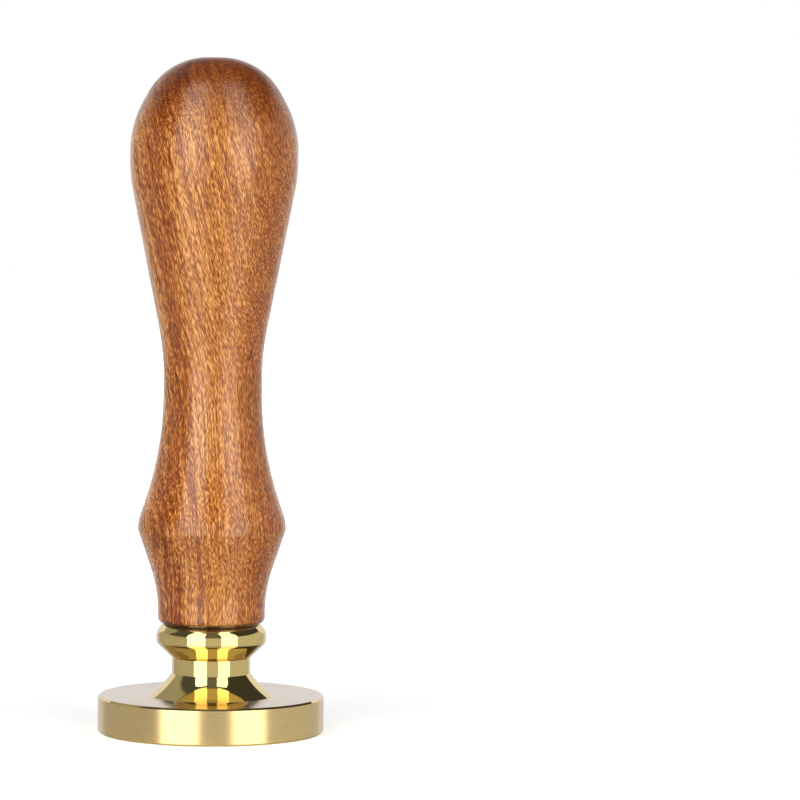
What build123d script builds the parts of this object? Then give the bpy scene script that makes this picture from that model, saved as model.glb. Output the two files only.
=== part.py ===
from build123d import *
import os
from math import radians, tan

# Wax seal stamp: a turned hardwood handle on a threaded stud, screwed into a turned brass die head.
# Millimetres. The origin is the centre of the engraved die face, and +Z runs up the handle.

# Brass head, from the die face up to the seat that the handle stands on
DIE_DIAMETER = 30.0
DISC_THICKNESS = 4.9
RIM_CHAMFER = 0.25
FLARE_FOOT_DIAMETER = 16.9
FLARE_BEND_DIAMETER = 13.3
FLARE_BEND_HEIGHT = 1.02
FLARE_ROUNDING = 8.5
FLARE_HEIGHT = 2.95
NECK_DIAMETER = 10.4
NECK_LENGTH = 2.1
CUP_HEIGHT = 2.0
COLLAR_DIAMETER = 14.6
COLLAR_WIDTH = 1.5
COLLAR_BOTTOM_ROUNDING = 0.85
COLLAR_TOP_ROUNDING = 1.3
SHOULDER_HEIGHT = 1.05
SEAT_DIAMETER = 12.7

# Engraved die face: a border groove round a rosette, with a centre dot and a dot between petal tips.
# A 90 degree V bit cuts them all, so each is half as deep as it is wide.
BORDER_MARGIN = 2.2
BORDER_WIDTH = 0.9
ROSETTE_MARGIN = 1.0
ROSETTE_HEART_DIAMETER = 4.6
CENTRE_DOT_DIAMETER = 2.4
PETAL_COUNT = 8
PETAL_WIDTH = 2.6
TIP_DOT_DIAMETER = 1.5

# Wooden handle, from the foot up: a foot, a knuckle, a waist and a bulb, with tapers between them.
# Each rounding is the radius that the turner gives the corner there.
FOOT_DIAMETER = 14.2
FOOT_LENGTH = 4.5
FOOT_END_ROUNDING = 0.85
FOOT_TOP_ROUNDING = 18.0
FOOT_TAPER_LENGTH = 7.9
KNUCKLE_DIAMETER = 19.6
KNUCKLE_LENGTH = 1.2
KNUCKLE_BOTTOM_ROUNDING = 0.6
KNUCKLE_TOP_ROUNDING = 5.6
LOWER_TAPER_LENGTH = 9.5
WAIST_DIAMETER = 13.0
WAIST_LENGTH = 12.8
WAIST_BOTTOM_ROUNDING = 45.0
WAIST_TOP_ROUNDING = 34.0
UPPER_TAPER_LENGTH = 23.5
BULB_DIAMETER = 22.2
BULB_LENGTH = 6.5
BULB_BOTTOM_ROUNDING = 21.0
BULB_TOP_ROUNDING = 13.7
CROWN_DIAMETER = 12.4
CROWN_HEIGHT = 9.0
CROWN_ROUNDING = 9.0

# Threaded stud: machine thread into the head, plain shank and pointed wood screw into the handle
THREAD_DIAMETER = 7.0
STUD_REACH = 7.5
STUD_END_CHAMFER = 0.6
SHANK_LENGTH = 3.0
WOOD_SCREW_DIAMETER = 6.5
WOOD_SCREW_LENGTH = 19.0
SCREW_POINT_LENGTH = 4.0
SCREW_TIP_DIAMETER = 0.8

# Fits and drilled holes
THREAD_CLEARANCE = 0.05
GLUE_LINE = 0.05
TAPPING_RUNOUT = 1.2
TAPPED_MOUTH_CHAMFER = 0.5
DRILL_POINT_ANGLE = 118.0

# Heights up the head from the die face, and up the handle from its seat
flare_bend = DISC_THICKNESS + FLARE_BEND_HEIGHT
flare_top = DISC_THICKNESS + FLARE_HEIGHT
neck_top = flare_top + NECK_LENGTH
collar_bottom = neck_top + CUP_HEIGHT
collar_top = collar_bottom + COLLAR_WIDTH
seat_height = collar_top + SHOULDER_HEIGHT
knuckle_bottom = FOOT_LENGTH + FOOT_TAPER_LENGTH
knuckle_top = knuckle_bottom + KNUCKLE_LENGTH
waist_bottom = knuckle_top + LOWER_TAPER_LENGTH
waist_top = waist_bottom + WAIST_LENGTH
bulb_bottom = waist_top + UPPER_TAPER_LENGTH
bulb_top = bulb_bottom + BULB_LENGTH
handle_length = bulb_top + CROWN_HEIGHT

# The planes in which the two turned outlines are drawn
head_plane = Plane.XZ
handle_plane = Plane(origin=(0, 0, seat_height), x_dir=(1, 0, 0), z_dir=(0, -1, 0))

# A plunging bit's cut starts at the die face and rises into the metal
BIT_ALIGN = (Align.CENTER, Align.CENTER, Align.MIN)


def drill_point(radius):
    """The height of the cone that a twist drill leaves at the bottom of a blind hole."""
    return radius / tan(radians(DRILL_POINT_ANGLE / 2))


def turned_outline(corners):
    """The closed outline of a turning, from (radius, height) corners that each have a rounding."""
    return FilletPolyline(
        [point for point, rounding in corners],
        radius=[rounding for point, rounding in corners],
        close=True,
    )


def v_plunge(diameter, mode):
    """The metal that the V bit takes out when it plunges to the given diameter at the face."""
    return Cone(diameter / 2, 0, diameter / 2, align=BIT_ALIGN, mode=mode)


# The metal that one petal's cut takes out: two flanks that meet in a line along +X
border_radius = DIE_DIAMETER / 2 - BORDER_MARGIN
petal_inner = ROSETTE_HEART_DIAMETER / 2
petal_outer = border_radius - BORDER_WIDTH / 2 - ROSETTE_MARGIN
petal_length = petal_outer - petal_inner
petal_middle = (petal_inner + petal_outer) / 2
flank_diameter = (petal_length**2 + PETAL_WIDTH**2) / (2 * PETAL_WIDTH)
flank_offset = (flank_diameter - PETAL_WIDTH) / 2
with BuildPart() as petal_cut:
    with Locations((petal_middle, flank_offset)):
        v_plunge(flank_diameter, Mode.ADD)
    with Locations((petal_middle, -flank_offset)):
        v_plunge(flank_diameter, Mode.INTERSECT)

# Brass head: one turning, with a blind tapped hole from the top and the die engraved into its underside
rim = DIE_DIAMETER / 2
head_corners = [
    ((0, 0), 0),
    ((rim - RIM_CHAMFER, 0), 0),
    ((rim, RIM_CHAMFER), 0),
    ((rim, DISC_THICKNESS - RIM_CHAMFER), 0),
    ((rim - RIM_CHAMFER, DISC_THICKNESS), 0),
    ((FLARE_FOOT_DIAMETER / 2, DISC_THICKNESS), 0),
    ((FLARE_BEND_DIAMETER / 2, flare_bend), FLARE_ROUNDING),
    ((NECK_DIAMETER / 2, flare_top), 0),
    ((NECK_DIAMETER / 2, neck_top), 0),
    ((COLLAR_DIAMETER / 2, collar_bottom), COLLAR_BOTTOM_ROUNDING),
    ((COLLAR_DIAMETER / 2, collar_top), COLLAR_TOP_ROUNDING),
    ((SEAT_DIAMETER / 2, seat_height), 0),
    ((0, seat_height), 0),
]
tapped_radius = THREAD_DIAMETER / 2 + THREAD_CLEARANCE
tapped_bottom = seat_height - STUD_REACH - TAPPING_RUNOUT
with BuildPart() as brass_head:
    with BuildSketch(head_plane):
        with BuildLine():
            turned_outline(head_corners)
        make_face()
    revolve(axis=Axis.Z)
    with BuildSketch(head_plane):
        with BuildLine():
            Polyline(
                (0, seat_height),
                (tapped_radius + TAPPED_MOUTH_CHAMFER, seat_height),
                (tapped_radius, seat_height - TAPPED_MOUTH_CHAMFER),
                (tapped_radius, tapped_bottom),
                (0, tapped_bottom - drill_point(tapped_radius)),
                close=True,
            )
        make_face()
    revolve(axis=Axis.Z, mode=Mode.SUBTRACT)
    with BuildSketch(head_plane):
        with BuildLine():
            Polyline(
                (border_radius - BORDER_WIDTH / 2, 0),
                (border_radius, BORDER_WIDTH / 2),
                (border_radius + BORDER_WIDTH / 2, 0),
                close=True,
            )
        make_face()
    revolve(axis=Axis.Z, mode=Mode.SUBTRACT)
    v_plunge(CENTRE_DOT_DIAMETER, Mode.SUBTRACT)
    with PolarLocations(petal_outer - TIP_DOT_DIAMETER / 2, PETAL_COUNT, start_angle=180 / PETAL_COUNT):
        v_plunge(TIP_DOT_DIAMETER, Mode.SUBTRACT)
    with PolarLocations(0, PETAL_COUNT):
        add(petal_cut.part, mode=Mode.SUBTRACT)

# Threaded stud: machine thread down into the head, shank and pointed wood screw up into the handle
thread_radius = THREAD_DIAMETER / 2
screw_radius = WOOD_SCREW_DIAMETER / 2
screw_end = SHANK_LENGTH + WOOD_SCREW_LENGTH
with BuildPart() as threaded_stud:
    with BuildSketch(handle_plane):
        with BuildLine():
            Polyline(
                (0, -STUD_REACH),
                (thread_radius - STUD_END_CHAMFER, -STUD_REACH),
                (thread_radius, STUD_END_CHAMFER - STUD_REACH),
                (thread_radius, SHANK_LENGTH),
                (screw_radius, SHANK_LENGTH),
                (screw_radius, screw_end - SCREW_POINT_LENGTH),
                (SCREW_TIP_DIAMETER / 2, screw_end),
                (0, screw_end),
                close=True,
            )
        make_face()
    revolve(axis=Axis.Z)

# Turned handle: foot, knuckle, waist, bulb and crown in one outline, drilled from below for the stud
handle_corners = [
    ((0, 0), 0),
    ((FOOT_DIAMETER / 2, 0), FOOT_END_ROUNDING),
    ((FOOT_DIAMETER / 2, FOOT_LENGTH), FOOT_TOP_ROUNDING),
    ((KNUCKLE_DIAMETER / 2, knuckle_bottom), KNUCKLE_BOTTOM_ROUNDING),
    ((KNUCKLE_DIAMETER / 2, knuckle_top), KNUCKLE_TOP_ROUNDING),
    ((WAIST_DIAMETER / 2, waist_bottom), WAIST_BOTTOM_ROUNDING),
    ((WAIST_DIAMETER / 2, waist_top), WAIST_TOP_ROUNDING),
    ((BULB_DIAMETER / 2, bulb_bottom), BULB_BOTTOM_ROUNDING),
    ((BULB_DIAMETER / 2, bulb_top), BULB_TOP_ROUNDING),
    ((CROWN_DIAMETER / 2, handle_length), CROWN_ROUNDING),
    ((0, handle_length), 0),
]
shank_hole_radius = thread_radius + GLUE_LINE
shank_hole_depth = SHANK_LENGTH + GLUE_LINE
pilot_radius = screw_radius + GLUE_LINE
pilot_depth = screw_end + GLUE_LINE
with BuildPart() as turned_handle:
    with BuildSketch(handle_plane):
        with BuildLine():
            turned_outline(handle_corners)
        make_face()
    revolve(axis=Axis.Z)
    with BuildSketch(handle_plane):
        with BuildLine():
            Polyline(
                (0, 0),
                (shank_hole_radius, 0),
                (shank_hole_radius, shank_hole_depth),
                (pilot_radius, shank_hole_depth),
                (pilot_radius, pilot_depth),
                (0, pilot_depth + drill_point(pilot_radius)),
                close=True,
            )
        make_face()
    revolve(axis=Axis.Z, mode=Mode.SUBTRACT)

os.makedirs("parts", exist_ok=True)
brass_head.part.label = "brass_head"
export_step(brass_head.part, "parts/brass_head.step")
threaded_stud.part.label = "threaded_stud"
export_step(threaded_stud.part, "parts/threaded_stud.step")
turned_handle.part.label = "turned_handle"
export_step(turned_handle.part, "parts/turned_handle.step")
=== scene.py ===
"""Looks of a wax seal stamp: a turned hardwood handle, screwed by a steel stud into a turned brass head.

Sizes are written in millimetres, as a turner's drawing gives them, and meshes are scaled to metres when
they are finished. The lamps and the camera are placed in metres and degrees. The origin is the centre of
the engraved die face, +Z runs up the handle and the camera stands on -Y.
"""

import logging
import math
from collections.abc import Collection
from dataclasses import dataclass
from enum import Enum, IntEnum
from typing import Any, NamedTuple

import bmesh
import bpy
from bmesh.types import BMEdge, BMesh, BMVert
from mathutils import Matrix, Vector


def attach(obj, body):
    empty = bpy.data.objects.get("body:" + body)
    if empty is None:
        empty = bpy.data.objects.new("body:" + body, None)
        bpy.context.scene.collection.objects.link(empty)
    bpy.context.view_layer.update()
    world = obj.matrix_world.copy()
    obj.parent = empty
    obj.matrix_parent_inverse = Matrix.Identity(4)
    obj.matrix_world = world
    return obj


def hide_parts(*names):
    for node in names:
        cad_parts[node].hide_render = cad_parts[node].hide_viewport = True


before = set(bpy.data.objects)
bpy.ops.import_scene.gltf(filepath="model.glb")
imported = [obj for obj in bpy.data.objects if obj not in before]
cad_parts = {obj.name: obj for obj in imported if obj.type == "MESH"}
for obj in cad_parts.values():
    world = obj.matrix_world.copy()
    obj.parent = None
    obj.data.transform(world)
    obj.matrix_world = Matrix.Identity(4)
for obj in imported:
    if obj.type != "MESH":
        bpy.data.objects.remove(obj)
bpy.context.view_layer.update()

log = logging.getLogger("wax_seal_stamp")

METRES_PER_MM = 0.001
AXIS = Vector((0.0, 0.0, 1.0))
TURNING_STEPS = 192
ARC_STEP = math.radians(3.0)
LEAST_ARC_STEPS = 2
WELD_DISTANCE = 1e-4
CREASE_ANGLE = math.radians(24.0)
DRILL_POINT_ANGLE = math.radians(118.0)
NOISE_MEAN = 0.5
WHITE = (1.0, 1.0, 1.0, 1.0)

Colour = tuple[float, float, float]
Triple = tuple[float, float, float]
Span = tuple[float, float]
Socket = bpy.types.NodeSocket


class Body(Enum):
    """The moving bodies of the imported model."""

    HEAD = "head"
    STUD = "stud"
    HANDLE = "handle"


class Slot(Enum):
    """The record's material slots."""

    BRASS = "brass"
    PLATED_STEEL = "plated_steel"
    HARDWOOD = "hardwood"


class Corner(NamedTuple):
    """One corner of a turned outline: its radius and height, and the radius that it is rounded to."""

    radius: float
    height: float
    rounding: float = 0.0

    def point(self) -> Vector:
        """The corner in the XZ plane."""
        return Vector((self.radius, 0.0, self.height))


# Turning and finishing of meshes


def drill_point(radius: float) -> float:
    """The height of the cone that a twist drill leaves at the bottom of a blind hole."""
    return radius / math.tan(DRILL_POINT_ANGLE / 2)


def extend(mesh: BMesh, end: BMVert, point: Vector) -> BMVert:
    """Draws a straight line on from the end of an outline.

    Args:
        mesh: The mesh that holds the outline.
        end: The outline's last vertex.
        point: Where the line goes to.

    Returns:
        The new last vertex.
    """
    new_end = bmesh.ops.extrude_vert_indiv(mesh, verts=[end])["verts"][0]
    new_end.co = point
    return new_end


def round_corner(mesh: BMesh, end: BMVert, before: Vector, corner: Corner, after: Vector) -> BMVert:
    """Draws an outline up to a corner and round it.

    Args:
        mesh: The mesh that holds the outline.
        end: The outline's last vertex.
        before: The corner before this one.
        corner: The corner to go round.
        after: The corner after this one.

    Returns:
        The new last vertex, at the end of the arc.
    """
    tip = corner.point()
    back, ahead = (before - tip).normalized(), (after - tip).normalized()
    if corner.rounding == 0.0:
        return extend(mesh, end, tip)
    half_angle = back.angle(ahead) / 2
    run = corner.rounding / math.tan(half_angle)
    centre = tip + (back + ahead).normalized() * (corner.rounding / math.sin(half_angle))
    turn = math.pi - 2 * half_angle
    if back.cross(ahead).y > 0:
        turn = -turn
    start = extend(mesh, end, tip + back * run)
    arc = bmesh.ops.spin(
        mesh,
        geom=[start],
        cent=centre,
        axis=(0.0, 1.0, 0.0),
        angle=turn,
        steps=max(LEAST_ARC_STEPS, math.ceil(abs(turn) / ARC_STEP)),
    )
    return next(item for item in arc["geom_last"] if isinstance(item, BMVert))


def turn_outline(mesh: BMesh, corners: list[Corner]) -> None:
    """Draws an outline through its rounded corners and turns it once about the Z axis.

    Args:
        mesh: The mesh to add the turning to.
        corners: The outline's corners, in order.
    """
    points = [corner.point() for corner in corners]
    end = bmesh.ops.create_vert(mesh, co=points[0])["vert"][0]
    drawn_before = set(mesh.verts) - {end}
    for before, corner, after in zip(points, corners[1:], points[2:]):
        end = round_corner(mesh, end, before, corner, after)
    extend(mesh, end, points[-1])
    outline = [vert for vert in mesh.verts if vert not in drawn_before]
    edges = {edge for vert in outline for edge in vert.link_edges}
    bmesh.ops.spin(
        mesh,
        geom=[*outline, *edges],
        cent=(0.0, 0.0, 0.0),
        axis=AXIS,
        angle=math.tau,
        steps=TURNING_STEPS,
        use_merge=True,
    )


def spin_copies(mesh: BMesh, verts: Collection[BMVert], count: int) -> None:
    """Repeats a shape evenly round the Z axis.

    Args:
        mesh: The mesh that holds the shape.
        verts: The vertices of the first one.
        count: How many there are in the end, the first one included.
    """
    parts = {part for vert in verts for part in (*vert.link_edges, *vert.link_faces)}
    bmesh.ops.spin(
        mesh,
        geom=[*verts, *parts],
        cent=(0.0, 0.0, 0.0),
        axis=AXIS,
        angle=math.tau * (count - 1) / count,
        steps=count - 1,
        use_duplicate=True,
    )


def weld(mesh: BMesh) -> None:
    """Merges a mesh's doubles and drops the faces and edges that this leaves without a size."""
    bmesh.ops.remove_doubles(mesh, verts=mesh.verts, dist=WELD_DISTANCE)
    bmesh.ops.dissolve_degenerate(mesh, edges=mesh.edges, dist=WELD_DISTANCE)


def finish_mesh(mesh: BMesh, name: str) -> bpy.types.Object:
    """Welds a mesh, points its faces outwards, shades it with its creases and makes it an object.

    Args:
        mesh: The mesh in millimetres, which is freed.
        name: The object's name.

    Returns:
        The object, at the origin and in metres.
    """
    weld(mesh)
    bmesh.ops.recalc_face_normals(mesh, faces=mesh.faces)
    for face in mesh.faces:
        face.smooth = True
    for edge in mesh.edges:
        edge.smooth = edge.calc_face_angle(0.0) < CREASE_ANGLE
    bmesh.ops.scale(mesh, vec=Vector((METRES_PER_MM,) * 3), verts=mesh.verts)
    data = bpy.data.meshes.new(name)
    mesh.to_mesh(data)
    mesh.free()
    piece = bpy.data.objects.new(name, data)
    bpy.context.scene.collection.objects.link(piece)
    return piece


# Shader graphs


class NodeGraph:
    """A node tree, with short calls for the nodes that the finishes and the studio share."""

    def __init__(self, tree: bpy.types.NodeTree) -> None:
        """Takes over a node tree.

        Args:
            tree: The tree to add nodes to.
        """
        self.tree = tree

    def add(self, kind: str, inputs: dict[str | int, Any] | None = None, **settings: Any) -> bpy.types.Node:
        """Adds a node.

        Args:
            kind: The node's type, such as ShaderNodeMath.
            inputs: Values or output sockets for the node's inputs, by name or number.
            settings: The node's own properties.

        Returns:
            The new node.
        """
        node = self.tree.nodes.new(kind)
        for key, value in settings.items():
            setattr(node, key, value)
        for key, value in (inputs or {}).items():
            self.feed(node.inputs[key], value)
        return node

    def feed(self, socket: Socket, value: Any) -> None:
        """Links an output socket to an input, or sets the input to a value.

        Args:
            socket: The input.
            value: An output socket, or a plain value.
        """
        if isinstance(value, Socket):
            self.tree.links.new(value, socket)
        else:
            socket.default_value = value

    def math(self, operation: str, *values: Any) -> Socket:
        """A calculation with plain numbers or sockets.

        Args:
            operation: The Math node's operation.
            values: Its operands.

        Returns:
            The socket that gives the result.
        """
        return self.add("ShaderNodeMath", dict(enumerate(values)), operation=operation).outputs[0]

    def fit(self, value: Any, low: float, high: float, to_low: Any = 0.0, to_high: Any = 1.0) -> Socket:
        """A number carried smoothly from one range to another, and held at the ends.

        Args:
            value: The socket to read.
            low: The low end of its range.
            high: The high end of its range.
            to_low: What the low end becomes, as a number or socket.
            to_high: What the high end becomes, as a number or socket.

        Returns:
            The socket that gives the result.
        """
        node = self.add(
            "ShaderNodeMapRange",
            {"Value": value, "From Min": low, "From Max": high, "To Min": to_low, "To Max": to_high},
            interpolation_type="SMOOTHSTEP",
        )
        return node.outputs["Result"]

    def ramp(self, value: Any, stops: list[tuple[float, Colour]]) -> Socket:
        """A colour ramp.

        Args:
            value: The socket that says where on the ramp a point is.
            stops: Positions and colours, in order.

        Returns:
            The socket that gives the colour.
        """
        node = self.add("ShaderNodeValToRGB", {"Fac": value})
        elements = node.color_ramp.elements
        while len(elements) < len(stops):
            elements.new(0.5)
        for element, (position, colour) in zip(elements, stops):
            element.position = position
            element.color = (*colour, 1.0)
        return node.outputs["Color"]

    def mix(self, factor: Any, first: Any, second: Any, blend: str = "MIX") -> Socket:
        """A mix of two colours.

        Args:
            factor: How much of the second colour there is.
            first: The first colour, or its socket.
            second: The second colour, or its socket.
            blend: How the second is laid over the first.

        Returns:
            The socket that gives the colour.
        """
        node = self.add("ShaderNodeMix", data_type="RGBA", blend_type=blend)
        ends = {"Factor_Float": factor, "A_Color": first, "B_Color": second}
        for socket in node.inputs:
            if socket.identifier in ends:
                value = ends[socket.identifier]
                self.feed(socket, (*value, 1.0) if isinstance(value, tuple) else value)
        return next(socket for socket in node.outputs if socket.identifier == "Result_Color")

    def blend_shaders(self, factor: Any, first: bpy.types.Node, second: bpy.types.Node) -> bpy.types.Node:
        """A blend of two shaders.

        Args:
            factor: How much of the second shader there is.
            first: The first shader's node.
            second: The second shader's node.

        Returns:
            The node that gives the blend.
        """
        return self.add("ShaderNodeMixShader", {0: factor, 1: first.outputs[0], 2: second.outputs[0]})


class FinishGraph(NodeGraph):
    """A material's node tree with one Principled shader, read in millimetres."""

    def __init__(self, name: str) -> None:
        """Starts the material.

        Args:
            name: The material's name.
        """
        self.material = bpy.data.materials.new(name)
        self.material.use_nodes = True
        super().__init__(self.material.node_tree)
        self.shader = self.tree.nodes["Principled BSDF"]

    def millimetres(self) -> Socket:
        """The point on the object in millimetres."""
        place = self.add("ShaderNodeTexCoord").outputs["Object"]
        return self.stretched(place, (1 / METRES_PER_MM,) * 3)

    def stretched(self, point: Socket, per_mm: Triple) -> Socket:
        """A point stretched along its axes.

        Args:
            point: The point in millimetres.
            per_mm: Pattern units to the millimetre, along X, Y and Z.

        Returns:
            The socket that gives the stretched point.
        """
        node = self.add("ShaderNodeVectorMath", {0: point, 1: per_mm}, operation="MULTIPLY")
        return node.outputs["Vector"]

    def noise(self, point: Socket, per_mm: Triple, detail: float, roughness: float) -> Socket:
        """A noise pattern from 0 to 1.

        Args:
            point: Where the pattern is read, in millimetres.
            per_mm: Its cells to the millimetre, along X, Y and Z.
            detail: How many finer layers it has.
            roughness: How strong the finer layers are.

        Returns:
            The socket that gives the noise.
        """
        node = self.add(
            "ShaderNodeTexNoise",
            {
                "Vector": self.stretched(point, per_mm),
                "Scale": 1.0,
                "Detail": detail,
                "Roughness": roughness,
            },
        )
        return node.outputs["Fac"]

    def radius(self, point: Socket) -> Socket:
        """A point's distance from the Z axis."""
        flat = self.stretched(point, (1.0, 1.0, 0.0))
        return self.add("ShaderNodeVectorMath", {0: flat}, operation="LENGTH").outputs["Value"]

    def turning_lines(self, point: Socket, per_mm: float) -> Socket:
        """Fine lines that run round the Z axis, as a lathe leaves them.

        Args:
            point: Where the pattern is read, in millimetres.
            per_mm: Lines to the millimetre.

        Returns:
            The socket that gives the lines, from 0 to 1.
        """
        _, _, high = self.add("ShaderNodeSeparateXYZ", {0: point}).outputs
        place = self.add("ShaderNodeCombineXYZ", {0: self.radius(point), 2: high}).outputs["Vector"]
        return self.noise(place, (per_mm,) * 3, detail=3.0, roughness=0.7)

    def bump(self, height: Any, depth_mm: float, strength: float) -> None:
        """Gives the shader a relief.

        Args:
            height: The socket that gives the relief.
            depth_mm: The height that 1 stands for.
            strength: How much of the relief shows.
        """
        node = self.add(
            "ShaderNodeBump",
            {"Height": height, "Distance": depth_mm * METRES_PER_MM, "Strength": strength},
        )
        self.feed(self.shader.inputs["Normal"], node.outputs["Normal"])

    def shade(self, **inputs: Any) -> None:
        """Sets the Principled shader's inputs.

        Args:
            inputs: Values or sockets by input name, with _ for a space.
        """
        for name, value in inputs.items():
            self.feed(self.shader.inputs[name.replace("_", " ")], value)


# Finishes


@dataclass(frozen=True)
class Streak:
    """A streak that runs up the wood at one bearing, in radians from the front towards +X."""

    bearing: float
    spread: float
    depth: float
    core: float = 0.05

    def build(self, graph: FinishGraph, bearing: Socket) -> Socket:
        """Adds the streak to the wood's graph.

        Args:
            graph: The wood's graph.
            bearing: The socket that gives each point's bearing.

        Returns:
            The socket that gives the streak, from 0 to its depth.
        """
        away = graph.math("ABSOLUTE", graph.math("SUBTRACT", bearing, self.bearing))
        return graph.fit(away, self.spread, self.core, 0.0, self.depth)


@dataclass(frozen=True)
class Figure:
    """One pattern in a finish: its cells to the millimetre along X, Y and Z, and its strength."""

    per_mm: Triple
    strength: float = 1.0
    detail: float = 2.0
    roughness: float = 0.5

    def build(self, graph: FinishGraph, point: Socket) -> Socket:
        """Adds the pattern to a finish's graph.

        Args:
            graph: The finish's graph.
            point: The socket that says where the pattern is read, in millimetres.

        Returns:
            The socket that gives the pattern, which is 0 on average.
        """
        pattern = graph.noise(point, self.per_mm, self.detail, self.roughness)
        return graph.math("MULTIPLY", graph.math("SUBTRACT", pattern, NOISE_MEAN), self.strength)


@dataclass(frozen=True)
class LacqueredHardwood:
    """Satin-lacquered close-grained hardwood: orange-brown, with a darker streak down each side."""

    name: str = "lacquered_hardwood"
    darkest: Colour = (0.19, 0.042, 0.004)
    dark: Colour = (0.35, 0.092, 0.010)
    middle: Colour = (0.56, 0.178, 0.026)
    pale: Colour = (0.96, 0.47, 0.13)
    tones: tuple[float, float, float, float] = (0.05, 0.32, 0.55, 0.95)
    streak_tint: Colour = (0.90, 0.76, 0.60)
    # partly painted shade: darkens the crown for the dim light that falls on the top, over the end grain's
    # deeper tone
    crown_grain_and_shade_tint: Colour = (0.42, 0.28, 0.12)
    # painted shadow: the dark shadow line in the joint, on the foot's rounded end where it meets the brass
    joint_shadow_tint: Colour = (0.12, 0.08, 0.06)
    crown_heights: Span = (76.0, 88.5)
    joint_shadow_heights: Span = (15.05, 14.70)
    joint_shadow_radii: Span = (5.9, 6.3)

    mean_tone: float = 0.520
    streak_depth: float = 0.15
    line_depth: float = 0.27
    grain_bow: float = 0.00165
    sway: Figure = Figure((0.05, 0.05, 0.03), 6.0)
    ripple: Figure = Figure((0.30, 0.30, 1.3), 0.8, roughness=0.6)
    fibres: Figure = Figure((10.5, 4.5, 1.25), 1.55, detail=0.0)
    bands: Figure = Figure((2.6, 0.25, 0.040), 1.50, roughness=0.7)
    zones: Figure = Figure((0.50, 0.20, 0.015), 0.18)
    clouds: Figure = Figure((0.20, 0.20, 0.08), 0.25, detail=3.0)
    lines: Figure = Figure((1.9, 0.20, 0.030), 1.0, detail=1.0)
    line_edge: Span = (-0.10, -0.19)
    left_streak: Streak = Streak(bearing=-0.76, spread=0.36, depth=0.90)
    right_streak: Streak = Streak(bearing=0.95, spread=0.60, depth=0.75)
    lined_side: Streak = Streak(bearing=-0.30, spread=0.75, depth=1.0)
    calm_side: Streak = Streak(bearing=0.75, spread=1.30, depth=0.56)

    roughness: float = 0.20
    crown_roughness: float = 0.10
    gloss: float = 0.6
    relief_mm: float = 0.016
    relief_strength: float = 0.5

    def build(self) -> bpy.types.Material:
        """Builds the wood: bowed and swaying grain, with bands and short fibres under a satin lacquer, a
        crown darkened partly by painted shade, and a painted shadow on the foot's end above the brass.

        Returns:
            The material.
        """
        graph = FinishGraph(self.name)
        point = graph.millimetres()
        across, deep, high = graph.add("ShaderNodeSeparateXYZ", {0: point}).outputs
        bow = graph.math("MULTIPLY", graph.math("MULTIPLY", high, high), self.grain_bow)
        bent = graph.math("ADD", graph.math("ADD", across, bow), self.sway.build(graph, point))
        grain = graph.add("ShaderNodeCombineXYZ", {0: bent, 1: deep, 2: high}).outputs["Vector"]
        bearing = graph.math("ARCTAN2", across, graph.math("MULTIPLY", deep, -1.0))
        rippled = graph.math("ADD", bearing, self.ripple.build(graph, point))
        left, right = (streak.build(graph, rippled) for streak in (self.left_streak, self.right_streak))
        streaks = graph.math("ADD", left, right)
        lines = graph.fit(self.lines.build(graph, grain), *self.line_edge)
        lined = graph.math("MULTIPLY", lines, self.lined_side.build(graph, bearing))
        lively = graph.math("SUBTRACT", 1.0, self.calm_side.build(graph, bearing))
        fibres = self.fibres.build(graph, grain)

        tone = graph.math("MULTIPLY_ADD", streaks, -self.streak_depth, self.mean_tone)
        tone = graph.math("MULTIPLY_ADD", lined, -self.line_depth, tone)
        tone = graph.math("MULTIPLY_ADD", self.bands.build(graph, grain), lively, tone)
        for pattern in (fibres, self.zones.build(graph, grain), self.clouds.build(graph, grain)):
            tone = graph.math("ADD", pattern, tone)
        wood = graph.ramp(tone, list(zip(self.tones, (self.darkest, self.dark, self.middle, self.pale))))
        # the crown's tint is partly painted shade for the dim light from above and partly the end grain's
        # own tone
        crown = graph.fit(high, *self.crown_heights)
        # painted shadow in the joint between the foot's rounded end and the brass collar
        joint_shadow_edge = graph.fit(graph.radius(point), *self.joint_shadow_radii)
        foot = graph.math("MULTIPLY", joint_shadow_edge, graph.fit(high, *self.joint_shadow_heights))
        # the streaks are the wood's own figure; the crown's tint is partly painted shade, and the foot's
        # tint is a painted shadow
        for share, tint in ((streaks, self.streak_tint), (crown, self.crown_grain_and_shade_tint), (foot, self.joint_shadow_tint)):
            wood = graph.mix(share, wood, tint, "MULTIPLY")
        graph.shade(
            Base_Color=wood,
            Roughness=graph.math("MULTIPLY_ADD", crown, self.crown_roughness, self.roughness),
            Specular_IOR_Level=self.gloss,
        )
        graph.bump(fibres, self.relief_mm, self.relief_strength)
        return graph.material


@dataclass(frozen=True)
class PolishedBrass:
    """Mirror-polished brass with the faint waves and smears that polishing and hands leave."""

    name: str = "polished_brass"
    colour: Colour = (0.90, 0.69, 0.27)
    smeared: Colour = (0.87, 0.66, 0.25)
    edge_tint: Colour = (0.80, 0.84, 1.0)
    roughness: float = 0.04
    smear_roughness: float = 0.05
    smears: Figure = Figure((0.30, 0.30, 0.45), detail=4.0, roughness=0.6)
    smear_edge: Span = (-0.05, 0.25)
    waves: Figure = Figure((0.35, 0.35, 0.9), detail=1.0)
    wave_mm: float = 0.02
    wave_strength: float = 0.2

    def build(self) -> bpy.types.Material:
        """Builds the mirror finish, which pales where it turns away.

        Returns:
            The material.
        """
        graph = FinishGraph(self.name)
        point = graph.millimetres()
        smears = graph.fit(self.smears.build(graph, point), *self.smear_edge)
        graph.shade(
            Base_Color=graph.mix(smears, self.colour, self.smeared),
            Metallic=1.0,
            Roughness=graph.math("MULTIPLY_ADD", smears, self.smear_roughness, self.roughness),
            Specular_Tint=(*self.edge_tint, 1.0),
        )
        graph.bump(self.waves.build(graph, point), self.wave_mm, self.wave_strength)
        return graph.material


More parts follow.
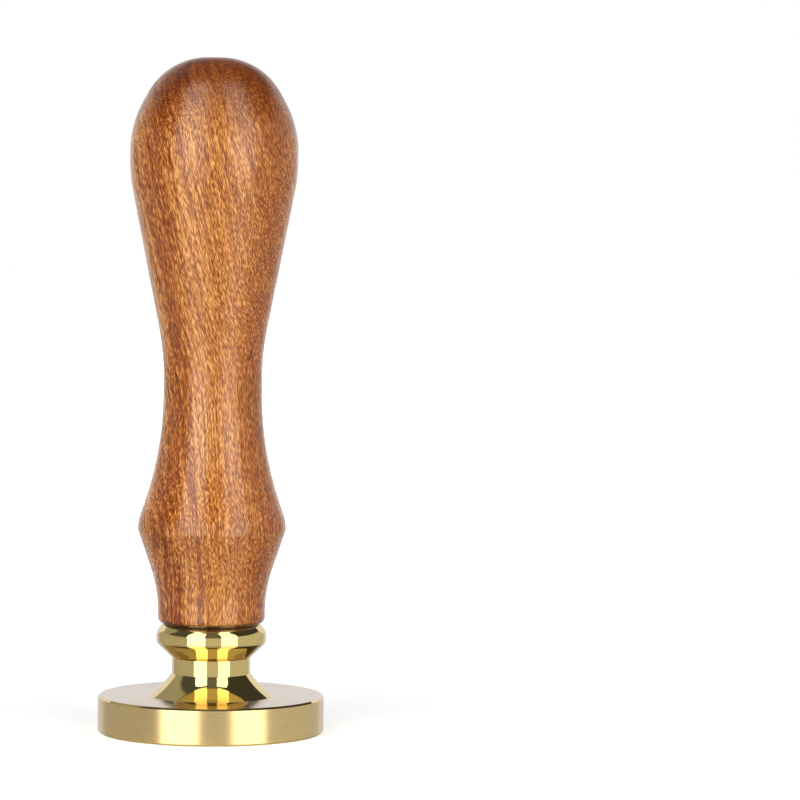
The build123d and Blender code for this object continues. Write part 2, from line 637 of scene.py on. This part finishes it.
@dataclass(frozen=True)
class TurnedBrass:
    """Brass left as fine emery leaves it on the lathe, with lines that run round it."""

    name: str
    roughness: float
    anisotropy: float
    colour: Colour = (0.90, 0.67, 0.31)
    dulled: Colour = (0.84, 0.62, 0.28)
    edge_tint: Colour = (0.80, 0.84, 1.0)
    across_lines: float = 0.25
    lines_per_mm: float = 14.0
    line_roughness: float = 0.08
    line_mm: float = 0.004
    line_strength: float = 0.3
    dulling: Figure = Figure((0.5, 0.5, 0.8), detail=3.0, roughness=0.6)
    dulling_edge: Span = (-0.10, 0.25)

    def build(self) -> bpy.types.Material:
        """Builds the satin finish, which spreads reflections across its lines.

        Returns:
            The material.
        """
        graph = FinishGraph(self.name)
        point = graph.millimetres()
        lines = graph.turning_lines(point, self.lines_per_mm)
        dulling = graph.fit(self.dulling.build(graph, point), *self.dulling_edge)
        graph.shade(
            Base_Color=graph.mix(dulling, self.colour, self.dulled),
            Metallic=1.0,
            Roughness=graph.math("MULTIPLY_ADD", lines, self.line_roughness, self.roughness),
            Specular_Tint=(*self.edge_tint, 1.0),
            Anisotropic=self.anisotropy,
            Anisotropic_Rotation=self.across_lines,
            Tangent=graph.add("ShaderNodeTangent", direction_type="RADIAL", axis="Z").outputs["Tangent"],
        )
        graph.bump(lines, self.line_mm, self.line_strength)
        return graph.material


@dataclass(frozen=True)
class ZincPlatedSteel:
    """Bright zinc plating with the faint clouding of its passivation."""

    name: str = "zinc_plated_steel"
    colour: Colour = (0.66, 0.67, 0.66)
    clouded: Colour = (0.52, 0.53, 0.55)
    roughness: float = 0.22
    cloud_roughness: float = 0.16
    clouds: Figure = Figure((0.8, 0.8, 0.8), detail=4.0)
    cloud_edge: Span = (-0.10, 0.20)

    def build(self) -> bpy.types.Material:
        """Builds the plating.

        Returns:
            The material.
        """
        graph = FinishGraph(self.name)
        clouds = graph.fit(self.clouds.build(graph, graph.millimetres()), *self.cloud_edge)
        graph.shade(
            Base_Color=graph.mix(clouds, self.colour, self.clouded),
            Metallic=1.0,
            Roughness=graph.math("MULTIPLY_ADD", clouds, self.cloud_roughness, self.roughness),
        )
        return graph.material


# Pieces of the stamp


@dataclass(frozen=True)
class Thread:
    """A right-hand screw thread, as one pitch of its flank outline."""

    outer_radius: float
    root_radius: float
    pitch: float
    crest_share: float
    root_share: float
    steps: int = 48
    spare_turns: int = 2

    def wind(self, mesh: BMesh, bottom: float, top: float) -> None:
        """Winds the thread up the Z axis and trims it flush at both ends.

        Args:
            mesh: The mesh to add the thread to.
            bottom: The height of its lower end.
            top: The height of its upper end.
        """
        flank = self.pitch * (1 - self.crest_share - self.root_share) / 2
        start = bottom - self.pitch
        root_end = start + self.root_share * self.pitch
        next_root = start + self.pitch
        heights = [start, root_end, root_end + flank, next_root - flank, next_root]
        radii = [self.root_radius, self.root_radius, self.outer_radius, self.outer_radius, self.root_radius]
        end = bmesh.ops.create_vert(mesh, co=(radii[0], 0.0, heights[0]))["vert"][0]
        outline: list[BMVert | BMEdge] = [end]
        for radius, height in zip(radii[1:], heights[1:]):
            end = extend(mesh, end, Vector((radius, 0.0, height)))
            outline += [end, *end.link_edges]
        turns = math.ceil((top - bottom) / self.pitch) + self.spare_turns
        bmesh.ops.spin(
            mesh,
            geom=outline,
            cent=(0.0, 0.0, 0.0),
            axis=AXIS,
            dvec=AXIS * self.pitch / self.steps,
            angle=math.tau * turns,
            steps=self.steps * turns,
        )
        bmesh.ops.remove_doubles(mesh, verts=mesh.verts, dist=WELD_DISTANCE)
        for height, outwards in ((bottom, -AXIS), (top, AXIS)):
            bmesh.ops.bisect_plane(
                mesh,
                geom=[*mesh.verts, *mesh.edges, *mesh.faces],
                plane_co=AXIS * height,
                plane_no=outwards,
                clear_outer=True,
            )


@dataclass
class BrassHead:
    """The turned brass head: engraved disc, flare, neck, cup and collar, tapped from the top."""

    die_diameter: float = 30.0
    disc_thickness: float = 4.9
    rim_chamfer: float = 0.25
    flare_foot_diameter: float = 16.9
    flare_bend_diameter: float = 13.3
    flare_bend_height: float = 1.02
    flare_rounding: float = 8.5
    flare_height: float = 2.95
    neck_diameter: float = 10.4
    neck_length: float = 2.1
    cup_height: float = 2.0
    collar_diameter: float = 14.6
    collar_width: float = 1.5
    collar_bottom_rounding: float = 0.85
    collar_top_rounding: float = 1.3
    shoulder_height: float = 1.05
    seat_diameter: float = 12.7
    edge_break: float = 0.05
    finish_overlap: float = 0.25

    tapped_diameter: float = 7.1
    tapped_depth: float = 8.7
    tapped_mouth_chamfer: float = 0.5

    border_margin: float = 2.2
    border_width: float = 0.9
    rosette_margin: float = 1.0
    rosette_heart_diameter: float = 4.6
    centre_dot_diameter: float = 2.4
    petal_count: int = 8
    petal_width: float = 2.6
    petal_steps: int = 24
    tip_dot_diameter: float = 1.5
    dot_steps: int = 32

    polished: PolishedBrass = PolishedBrass()
    satin_rim: TurnedBrass = TurnedBrass("satin_rim_brass", roughness=0.24, anisotropy=0.75)
    turned_top: TurnedBrass = TurnedBrass("fine_turned_brass", roughness=0.12, anisotropy=0.60)

    class Finish(IntEnum):
        """The head's finishes, as material numbers."""

        POLISHED = 0
        SATIN_RIM = 1
        TURNED_TOP = 2

    @property
    def rim_radius(self) -> float:
        """The disc's radius."""
        return self.die_diameter / 2

    @property
    def border_radius(self) -> float:
        """The radius of the border groove's middle line."""
        return self.rim_radius - self.border_margin

    @property
    def petal_inner(self) -> float:
        """The radius of the petals' inner tips."""
        return self.rosette_heart_diameter / 2

    @property
    def petal_outer(self) -> float:
        """The radius of the petals' outer tips."""
        return self.border_radius - self.border_width / 2 - self.rosette_margin

    @property
    def seat_height(self) -> float:
        """The height of the face that the handle stands on."""
        neck_top = self.disc_thickness + self.flare_height + self.neck_length
        return neck_top + self.cup_height + self.collar_width + self.shoulder_height

    def outline(self) -> list[Corner]:
        """The turned outline, from the inside of the border groove round to the end of the tapped hole.

        Returns:
            The outline's corners, in order.
        """
        rim, edge, groove = self.rim_radius, self.edge_break, self.border_width / 2
        flare_bend = self.disc_thickness + self.flare_bend_height
        flare_top = self.disc_thickness + self.flare_height
        neck_top = flare_top + self.neck_length
        collar_bottom = neck_top + self.cup_height
        collar_top = collar_bottom + self.collar_width
        bore = self.tapped_diameter / 2
        bore_bottom = self.seat_height - self.tapped_depth
        return [
            Corner(self.border_radius - groove, 0.0),
            Corner(self.border_radius, groove),
            Corner(self.border_radius + groove, 0.0),
            Corner(rim - self.rim_chamfer, 0.0, edge),
            Corner(rim, self.rim_chamfer, edge),
            Corner(rim, self.disc_thickness - self.rim_chamfer, edge),
            Corner(rim - self.rim_chamfer, self.disc_thickness, edge),
            Corner(self.flare_foot_diameter / 2, self.disc_thickness, edge),
            Corner(self.flare_bend_diameter / 2, flare_bend, self.flare_rounding),
            Corner(self.neck_diameter / 2, flare_top, edge),
            Corner(self.neck_diameter / 2, neck_top, edge),
            Corner(self.collar_diameter / 2, collar_bottom, self.collar_bottom_rounding),
            Corner(self.collar_diameter / 2, collar_top, self.collar_top_rounding),
            Corner(self.seat_diameter / 2, self.seat_height, edge),
            Corner(bore + self.tapped_mouth_chamfer, self.seat_height),
            Corner(bore, self.seat_height - self.tapped_mouth_chamfer),
            Corner(bore, bore_bottom),
            Corner(0.0, bore_bottom - drill_point(bore)),
        ]

    def cut_petals(self, mesh: BMesh) -> None:
        """Cuts the rosette's petals: each has two flanks that meet in a line below the face.

        Args:
            mesh: The head's mesh.
        """
        length = self.petal_outer - self.petal_inner
        middle = (self.petal_outer + self.petal_inner) / 2
        flank_radius = (length**2 + self.petal_width**2) / (4 * self.petal_width)
        flank_offset = flank_radius - self.petal_width / 2
        half_turn = math.asin(length / 2 / flank_radius)
        drawn_before = set(mesh.verts)
        tip = bmesh.ops.create_vert(mesh, co=(self.petal_inner, 0.0, 0.0))["vert"][0]
        bmesh.ops.spin(
            mesh,
            geom=[tip],
            cent=(middle, -flank_offset, 0.0),
            axis=-AXIS,
            angle=2 * half_turn,
            steps=self.petal_steps,
        )
        edges = {edge for vert in set(mesh.verts) - drawn_before for edge in vert.link_edges}
        for item in bmesh.ops.extrude_edge_only(mesh, edges=list(edges))["geom"]:
            if isinstance(item, BMVert):
                item.co.y = 0.0
                item.co.z = max(0.0, flank_radius - math.hypot(item.co.x - middle, flank_offset))
        half = set(mesh.verts) - drawn_before
        faces = {face for vert in half for face in vert.link_faces}
        bmesh.ops.mirror(mesh, geom=[*half, *faces], merge_dist=WELD_DISTANCE, axis="Y")
        spin_copies(mesh, set(mesh.verts) - drawn_before, self.petal_count)

    def plunge_dots(self, mesh: BMesh) -> None:
        """Plunges the dot in the rosette's heart and one between each two petals' tips.

        Args:
            mesh: The head's mesh.
        """
        half_step = Matrix.Rotation(math.pi / self.petal_count, 4, "Z")
        tip_place = half_step @ Vector((self.petal_outer - self.tip_dot_diameter / 2, 0.0, 0.0))
        for diameter, place, count in (
            (self.centre_dot_diameter, Vector(), 1),
            (self.tip_dot_diameter, tip_place, self.petal_count),
        ):
            depth = diameter / 2
            cone = bmesh.ops.create_cone(
                mesh,
                cap_ends=False,
                segments=self.dot_steps,
                radius1=diameter / 2,
                radius2=0.0,
                depth=depth,
                matrix=Matrix.Translation(place + AXIS * depth / 2),
            )["verts"]
            if count > 1:
                spin_copies(mesh, cone, count)

    def fill_field(self, mesh: BMesh) -> None:
        """Fills the flat of the die face between the border and the cuts.

        Args:
            mesh: The head's mesh.
        """
        weld(mesh)
        field_edges = [
            edge
            for edge in mesh.edges
            if edge.is_boundary and all(abs(vert.co.z) < WELD_DISTANCE for vert in edge.verts)
        ]
        bmesh.ops.triangle_fill(mesh, use_beauty=True, edges=field_edges, normal=-AXIS)

    def finish_at(self, place: Vector) -> Finish:
        """The finish at a place on the head: a satin rim, a turned disc top, and the rest polished.

        Args:
            place: The place, in millimetres.

        Returns:
            The finish's material number.
        """
        radius = place.xy.length
        if radius > self.rim_radius - self.rim_chamfer * self.finish_overlap:
            return self.Finish.SATIN_RIM
        on_top = abs(place.z - self.disc_thickness) < self.edge_break * self.finish_overlap
        if on_top and radius > self.flare_foot_diameter / 2:
            return self.Finish.TURNED_TOP
        return self.Finish.POLISHED

    def build(self) -> bpy.types.Object:
        """Builds and dresses the head.

        Returns:
            The head, riding on its body.
        """
        mesh = bmesh.new()
        turn_outline(mesh, self.outline())
        self.cut_petals(mesh)
        self.plunge_dots(mesh)
        self.fill_field(mesh)
        for face in mesh.faces:
            face.material_index = self.finish_at(face.calc_center_median())
        piece = finish_mesh(mesh, "turned_brass_head")
        for finish in (self.polished, self.satin_rim, self.turned_top):
            piece.data.materials.append(finish.build())
        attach(piece, Body.HEAD.value)
        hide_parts("brass_head")
        return piece


@dataclass
class TurnedHandle:
    """The turned hardwood handle: foot, knuckle, waist, bulb and crown, drilled from below for the stud."""

    seat_height: float
    foot_diameter: float = 14.2
    foot_length: float = 4.5
    foot_end_rounding: float = 0.85
    foot_top_rounding: float = 18.0
    foot_taper_length: float = 7.9
    knuckle_diameter: float = 19.6
    knuckle_length: float = 1.2
    knuckle_bottom_rounding: float = 0.6
    knuckle_top_rounding: float = 5.6
    lower_taper_length: float = 9.5
    waist_diameter: float = 13.0
    waist_length: float = 12.8
    waist_bottom_rounding: float = 45.0
    waist_top_rounding: float = 34.0
    upper_taper_length: float = 23.5
    bulb_diameter: float = 22.2
    bulb_length: float = 6.5
    bulb_bottom_rounding: float = 21.0
    bulb_top_rounding: float = 13.7
    crown_diameter: float = 12.4
    crown_height: float = 9.0
    crown_rounding: float = 9.0
    shank_hole_diameter: float = 7.1
    shank_hole_depth: float = 3.05
    pilot_diameter: float = 6.6
    pilot_depth: float = 22.05
    finish: LacqueredHardwood = LacqueredHardwood()

    def outline(self) -> list[Corner]:
        """The turned outline, from the end of the drilled hole out to the foot and up to the crown.

        Returns:
            The outline's corners, in order.
        """
        foot_top = self.seat_height + self.foot_length
        knuckle_bottom = foot_top + self.foot_taper_length
        knuckle_top = knuckle_bottom + self.knuckle_length
        waist_bottom = knuckle_top + self.lower_taper_length
        waist_top = waist_bottom + self.waist_length
        bulb_bottom = waist_top + self.upper_taper_length
        bulb_top = bulb_bottom + self.bulb_length
        crown = bulb_top + self.crown_height
        shank_end = self.seat_height + self.shank_hole_depth
        pilot_end = self.seat_height + self.pilot_depth
        return [
            Corner(0.0, pilot_end + drill_point(self.pilot_diameter / 2)),
            Corner(self.pilot_diameter / 2, pilot_end),
            Corner(self.pilot_diameter / 2, shank_end),
            Corner(self.shank_hole_diameter / 2, shank_end),
            Corner(self.shank_hole_diameter / 2, self.seat_height),
            Corner(self.foot_diameter / 2, self.seat_height, self.foot_end_rounding),
            Corner(self.foot_diameter / 2, foot_top, self.foot_top_rounding),
            Corner(self.knuckle_diameter / 2, knuckle_bottom, self.knuckle_bottom_rounding),
            Corner(self.knuckle_diameter / 2, knuckle_top, self.knuckle_top_rounding),
            Corner(self.waist_diameter / 2, waist_bottom, self.waist_bottom_rounding),
            Corner(self.waist_diameter / 2, waist_top, self.waist_top_rounding),
            Corner(self.bulb_diameter / 2, bulb_bottom, self.bulb_bottom_rounding),
            Corner(self.bulb_diameter / 2, bulb_top, self.bulb_top_rounding),
            Corner(self.crown_diameter / 2, crown, self.crown_rounding),
            Corner(0.0, crown),
        ]

    def build(self) -> bpy.types.Object:
        """Builds and dresses the handle.

        Returns:
            The handle, riding on its body.
        """
        mesh = bmesh.new()
        turn_outline(mesh, self.outline())
        piece = finish_mesh(mesh, "turned_hardwood_handle")
        piece.data.materials.append(self.finish.build())
        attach(piece, Body.HANDLE.value)
        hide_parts("turned_handle")
        return piece


class EndCone(NamedTuple):
    """A thread's end that is turned down: its height, its radius there and how fast it widens."""

    height: float
    radius: float
    slope: float


@dataclass
class ThreadedStud:
    """The steel stud: machine thread down into the head, shank and wood screw up into the handle."""

    seat_height: float
    reach: float = 7.5
    end_chamfer: float = 0.6
    chamfer_slope: float = 1.0
    shank_diameter: float = 7.0
    shank_length: float = 3.0
    screw_length: float = 19.0
    point_length: float = 4.0
    tip_diameter: float = 0.8
    machine_thread: Thread = Thread(
        outer_radius=3.5, root_radius=2.89, pitch=1.0, crest_share=0.125, root_share=0.25
    )
    wood_thread: Thread = Thread(
        outer_radius=3.25, root_radius=2.2, pitch=2.5, crest_share=0.06, root_share=0.55
    )
    finish: ZincPlatedSteel = ZincPlatedSteel()

    @staticmethod
    def cone_down(mesh: BMesh, cone: EndCone) -> None:
        """Turns the end of a thread down to a cone.

        Args:
            mesh: The thread's mesh.
            cone: The end's height, radius and slope.
        """
        for vert in mesh.verts:
            allowed = cone.radius + cone.slope * abs(vert.co.z - cone.height)
            radius = vert.co.xy.length
            if radius > allowed:
                vert.co.xy *= allowed / radius

    @staticmethod
    def cap_ends(mesh: BMesh) -> None:
        """Closes a thread's two open ends."""
        bmesh.ops.holes_fill(mesh, edges=[edge for edge in mesh.edges if edge.is_boundary], sides=0)

    def build_part(self, thread: Thread, bottom: float, top: float, cone: EndCone) -> BMesh:
        """Builds one threaded length, closed at both ends.

        Args:
            thread: Its thread.
            bottom: The height of its lower end.
            top: The height of its upper end.
            cone: The end that is turned down.

        Returns:
            The threaded length's mesh.
        """
        mesh = bmesh.new()
        thread.wind(mesh, bottom, top)
        self.cone_down(mesh, cone)
        self.cap_ends(mesh)
        return mesh

    def build(self) -> bpy.types.Object:
        """Builds and dresses the stud.

        Returns:
            The stud, riding on its body.
        """
        bottom = self.seat_height - self.reach
        shank_top = self.seat_height + self.shank_length
        screw_top = shank_top + self.screw_length
        tip_radius = self.tip_diameter / 2
        point_slope = (self.wood_thread.outer_radius - tip_radius) / self.point_length
        chamfer = EndCone(bottom, self.shank_diameter / 2 - self.end_chamfer, self.chamfer_slope)
        point = EndCone(screw_top, tip_radius, point_slope)
        machine = self.build_part(self.machine_thread, bottom, self.seat_height, chamfer)
        screw = self.build_part(self.wood_thread, shank_top, screw_top, point)
        mesh = bmesh.new()
        for part in (machine, screw):
            joined = bpy.data.meshes.new("threaded_length")
            part.to_mesh(joined)
            part.free()
            mesh.from_mesh(joined)
            bpy.data.meshes.remove(joined)
        radius = self.shank_diameter / 2
        turn_outline(
            mesh,
            [
                Corner(0.0, self.seat_height),
                Corner(radius, self.seat_height),
                Corner(radius, shank_top),
                Corner(0.0, shank_top),
            ],
        )
        piece = finish_mesh(mesh, "zinc_plated_stud")
        piece.data.materials.append(self.finish.build())
        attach(piece, Body.STUD.value)
        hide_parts("threaded_stud")
        return piece


# Studio


# Lamps and cameras are made looking down, and this stands them up to look along +Y
UPRIGHT = Matrix.Rotation(math.pi / 2, 4, "X")


def turned_about(axis: str, degrees: float) -> Matrix:
    """A turn about one axis."""
    return Matrix.Rotation(math.radians(degrees), 4, axis)


@dataclass(frozen=True)
class Softbox:
    """One tall softbox, which leans over the stamp and is turned a little in its own plane."""

    name: str
    bearing: float
    roll: float
    radiance: float
    width: float
    lean: float = 10.0
    distance: float = 0.60
    reach_down: float = 0.17
    reach_up: float = 1.30

    def build(self) -> bpy.types.Object:
        """Hangs the softbox, facing the stamp.

        Returns:
            The light.
        """
        height = self.reach_up + self.reach_down
        light = bpy.data.lights.new(self.name, "AREA")
        light.shape = "RECTANGLE"
        light.size = self.width
        light.size_y = height
        light.energy = self.radiance * math.pi * self.width * height
        lamp = bpy.data.objects.new(self.name, light)
        placed = Matrix.Translation((0.0, -self.distance, 0.0))
        raised = Matrix.Translation((0.0, (self.reach_up - self.reach_down) / 2, 0.0))
        aimed = turned_about("Z", self.bearing) @ placed @ UPRIGHT
        lamp.matrix_world = aimed @ turned_about("X", -self.lean) @ turned_about("Z", self.roll) @ raised
        bpy.context.scene.collection.objects.link(lamp)
        return lamp


@dataclass(frozen=True)
class StudioRoom:
    """The studio round the stamp: a white backdrop behind, pale walls and a dim ceiling."""

    wall_left: float = 0.43
    wall_front: float = 0.58
    wall_turn: Span = (-0.45, -0.05)
    backdrop: float = 0.95
    backdrop_edge: Span = (0.80, 0.90)
    backdrop_rise: float = 0.5
    ceiling_front: float = 0.15
    ceiling_left: float = 0.08
    ceiling_back_left: float = 0.36
    ceiling_right: float = 0.05
    ceiling_turn: Span = (0.20, 0.32)
    ceiling_depth: Span = (0.20, 0.36)
    ceiling_edge: Span = (0.33, 0.37)
    edge_rise: float = 0.10
    edge_turn: Span = (0.55, 0.80)

    def build(self) -> None:
        """Builds the world: white to the camera, and the studio to everything else."""
        world = bpy.data.worlds.new("studio_room")
        world.use_nodes = True
        bpy.context.scene.world = world
        graph = NodeGraph(world.node_tree)
        direction = graph.add("ShaderNodeTexCoord").outputs["Generated"]
        across, deep, high = graph.add("ShaderNodeSeparateXYZ", {0: direction}).outputs
        near, far = self.ceiling_turn
        walls = graph.fit(across, *self.wall_turn, self.wall_left, self.wall_front)
        behind = graph.math("MULTIPLY_ADD", high, self.backdrop_rise, deep)
        walls = graph.fit(behind, *self.backdrop_edge, walls, self.backdrop)
        left = graph.fit(deep, *self.ceiling_depth, self.ceiling_left, self.ceiling_back_left)
        ceiling = graph.fit(across, -far, -near, left, self.ceiling_front)
        ceiling = graph.fit(across, near, far, ceiling, self.ceiling_right)
        raised = graph.fit(graph.math("MAXIMUM", across, deep), *self.edge_turn, 0.0, -self.edge_rise)
        above = graph.math("ADD", high, raised)
        room = graph.tree.nodes["Background"]
        room.inputs["Color"].default_value = WHITE
        graph.feed(room.inputs["Strength"], graph.fit(above, *self.ceiling_edge, walls, ceiling))
        white = graph.add("ShaderNodeBackground", {"Color": WHITE})
        seen = graph.add("ShaderNodeLightPath").outputs["Is Camera Ray"]
        both = graph.blend_shaders(seen, room, white)
        graph.feed(graph.tree.nodes["World Output"].inputs["Surface"], both.outputs[0])


@dataclass(frozen=True)
class PaleFloor:
    """The pale floor that the stamp stands on, open under the die so that the engraving gets light.

    The camera sees matt paint lifted to white, and the metal sees the paint with a polish that grows at low
    angles.
    """

    opening_radius: float = 14.8
    reach: float = 1500.0
    colour: Colour = (0.80, 0.80, 0.80)
    lift: float = 0.55
    far_lift: float = 1.0
    lift_reach: Span = (30.0, 250.0)
    polish: float = 0.35

    def build_material(self) -> bpy.types.Material:
        """Builds the floor's material, which can't be seen from below.

        Returns:
            The material.
        """
        material = bpy.data.materials.new("pale_floor")
        material.use_nodes = True
        graph = NodeGraph(material.node_tree)
        graph.tree.nodes.remove(graph.tree.nodes["Principled BSDF"])
        place = graph.add("ShaderNodeTexCoord").outputs["Object"]
        away = graph.add("ShaderNodeVectorMath", {0: place}, operation="LENGTH").outputs["Value"]
        near, far = (METRES_PER_MM * end for end in self.lift_reach)
        lift = graph.fit(away, near, far, self.lift, self.far_lift)
        path = graph.add("ShaderNodeLightPath").outputs
        paint = graph.add("ShaderNodeBsdfDiffuse", {"Color": (*self.colour, 1.0)})
        seen_lift = graph.math("MULTIPLY", path["Is Camera Ray"], lift)
        glow = graph.add("ShaderNodeEmission", {"Strength": seen_lift})
        lifted = graph.add("ShaderNodeAddShader", {0: paint.outputs[0], 1: glow.outputs[0]})
        gloss = graph.add("ShaderNodeLayerWeight", {"Blend": self.polish}).outputs["Facing"]
        mirror = graph.add("ShaderNodeBsdfGlossy", {"Color": WHITE, "Roughness": 0.0})
        shown = graph.math("MULTIPLY", path["Is Glossy Ray"], gloss)
        polished = graph.blend_shaders(shown, lifted, mirror)
        backfacing = graph.add("ShaderNodeNewGeometry").outputs["Backfacing"]
        both = graph.blend_shaders(backfacing, polished, graph.add("ShaderNodeBsdfTransparent"))
        graph.feed(graph.tree.nodes["Material Output"].inputs["Surface"], both.outputs[0])
        return material

    def build(self) -> bpy.types.Object:
        """Lays the floor.

        Returns:
            The floor.
        """
        mesh = bmesh.new()
        turn_outline(mesh, [Corner(self.opening_radius, 0.0), Corner(self.reach, 0.0)])
        floor = finish_mesh(mesh, "pale_floor")
        if floor.data.polygons[0].normal.z < 0:
            floor.data.flip_normals()
        floor.data.materials.append(self.build_material())
        return floor


@dataclass(frozen=True)
class PhotoCamera:
    """The camera, level with the crown and aimed to the right of the stamp as in the photograph."""

    distance: float = 0.600
    height: float = 0.0833
    lens: float = 204.19
    yaw: float = 2.3676
    pitch: float = 3.7156
    roll: float = 0.5173
    sensor_width: float = 36.0
    nearest: float = 0.01

    def build(self) -> bpy.types.Object:
        """Places the camera and makes it the scene's.

        Returns:
            The camera.
        """
        data = bpy.data.cameras.new("photo_camera")
        data.lens = self.lens
        data.sensor_width = self.sensor_width
        data.clip_start = self.nearest
        camera = bpy.data.objects.new("photo_camera", data)
        placed = Matrix.Translation((0.0, -self.distance, self.height))
        level = placed @ turned_about("Z", -self.yaw) @ UPRIGHT
        camera.matrix_world = level @ turned_about("X", -self.pitch) @ turned_about("Z", self.roll)
        bpy.context.scene.collection.objects.link(camera)
        bpy.context.scene.camera = camera
        return camera


def main() -> None:
    """Builds the stamp and its studio, in order."""
    logging.basicConfig(level=logging.INFO, format="%(name)s: %(message)s")
    bpy.context.scene.view_settings.view_transform = "Standard"
    head = BrassHead()
    for assembly in (head, ThreadedStud(head.seat_height), TurnedHandle(head.seat_height)):
        piece = assembly.build()
        log.info("%s: %d faces", piece.name, len(piece.data.polygons))
    PaleFloor().build()
    StudioRoom().build()
    left = Softbox("left_softbox", bearing=-31.0, roll=7.0, radiance=2.45, width=0.414)
    right = Softbox("right_softbox", bearing=38.0, roll=-7.0, radiance=2.05, width=0.376)
    for softbox in (left, right):
        log.info("%s hung", softbox.build().name)
    PhotoCamera().build()


if __name__ == "__main__":
    main()
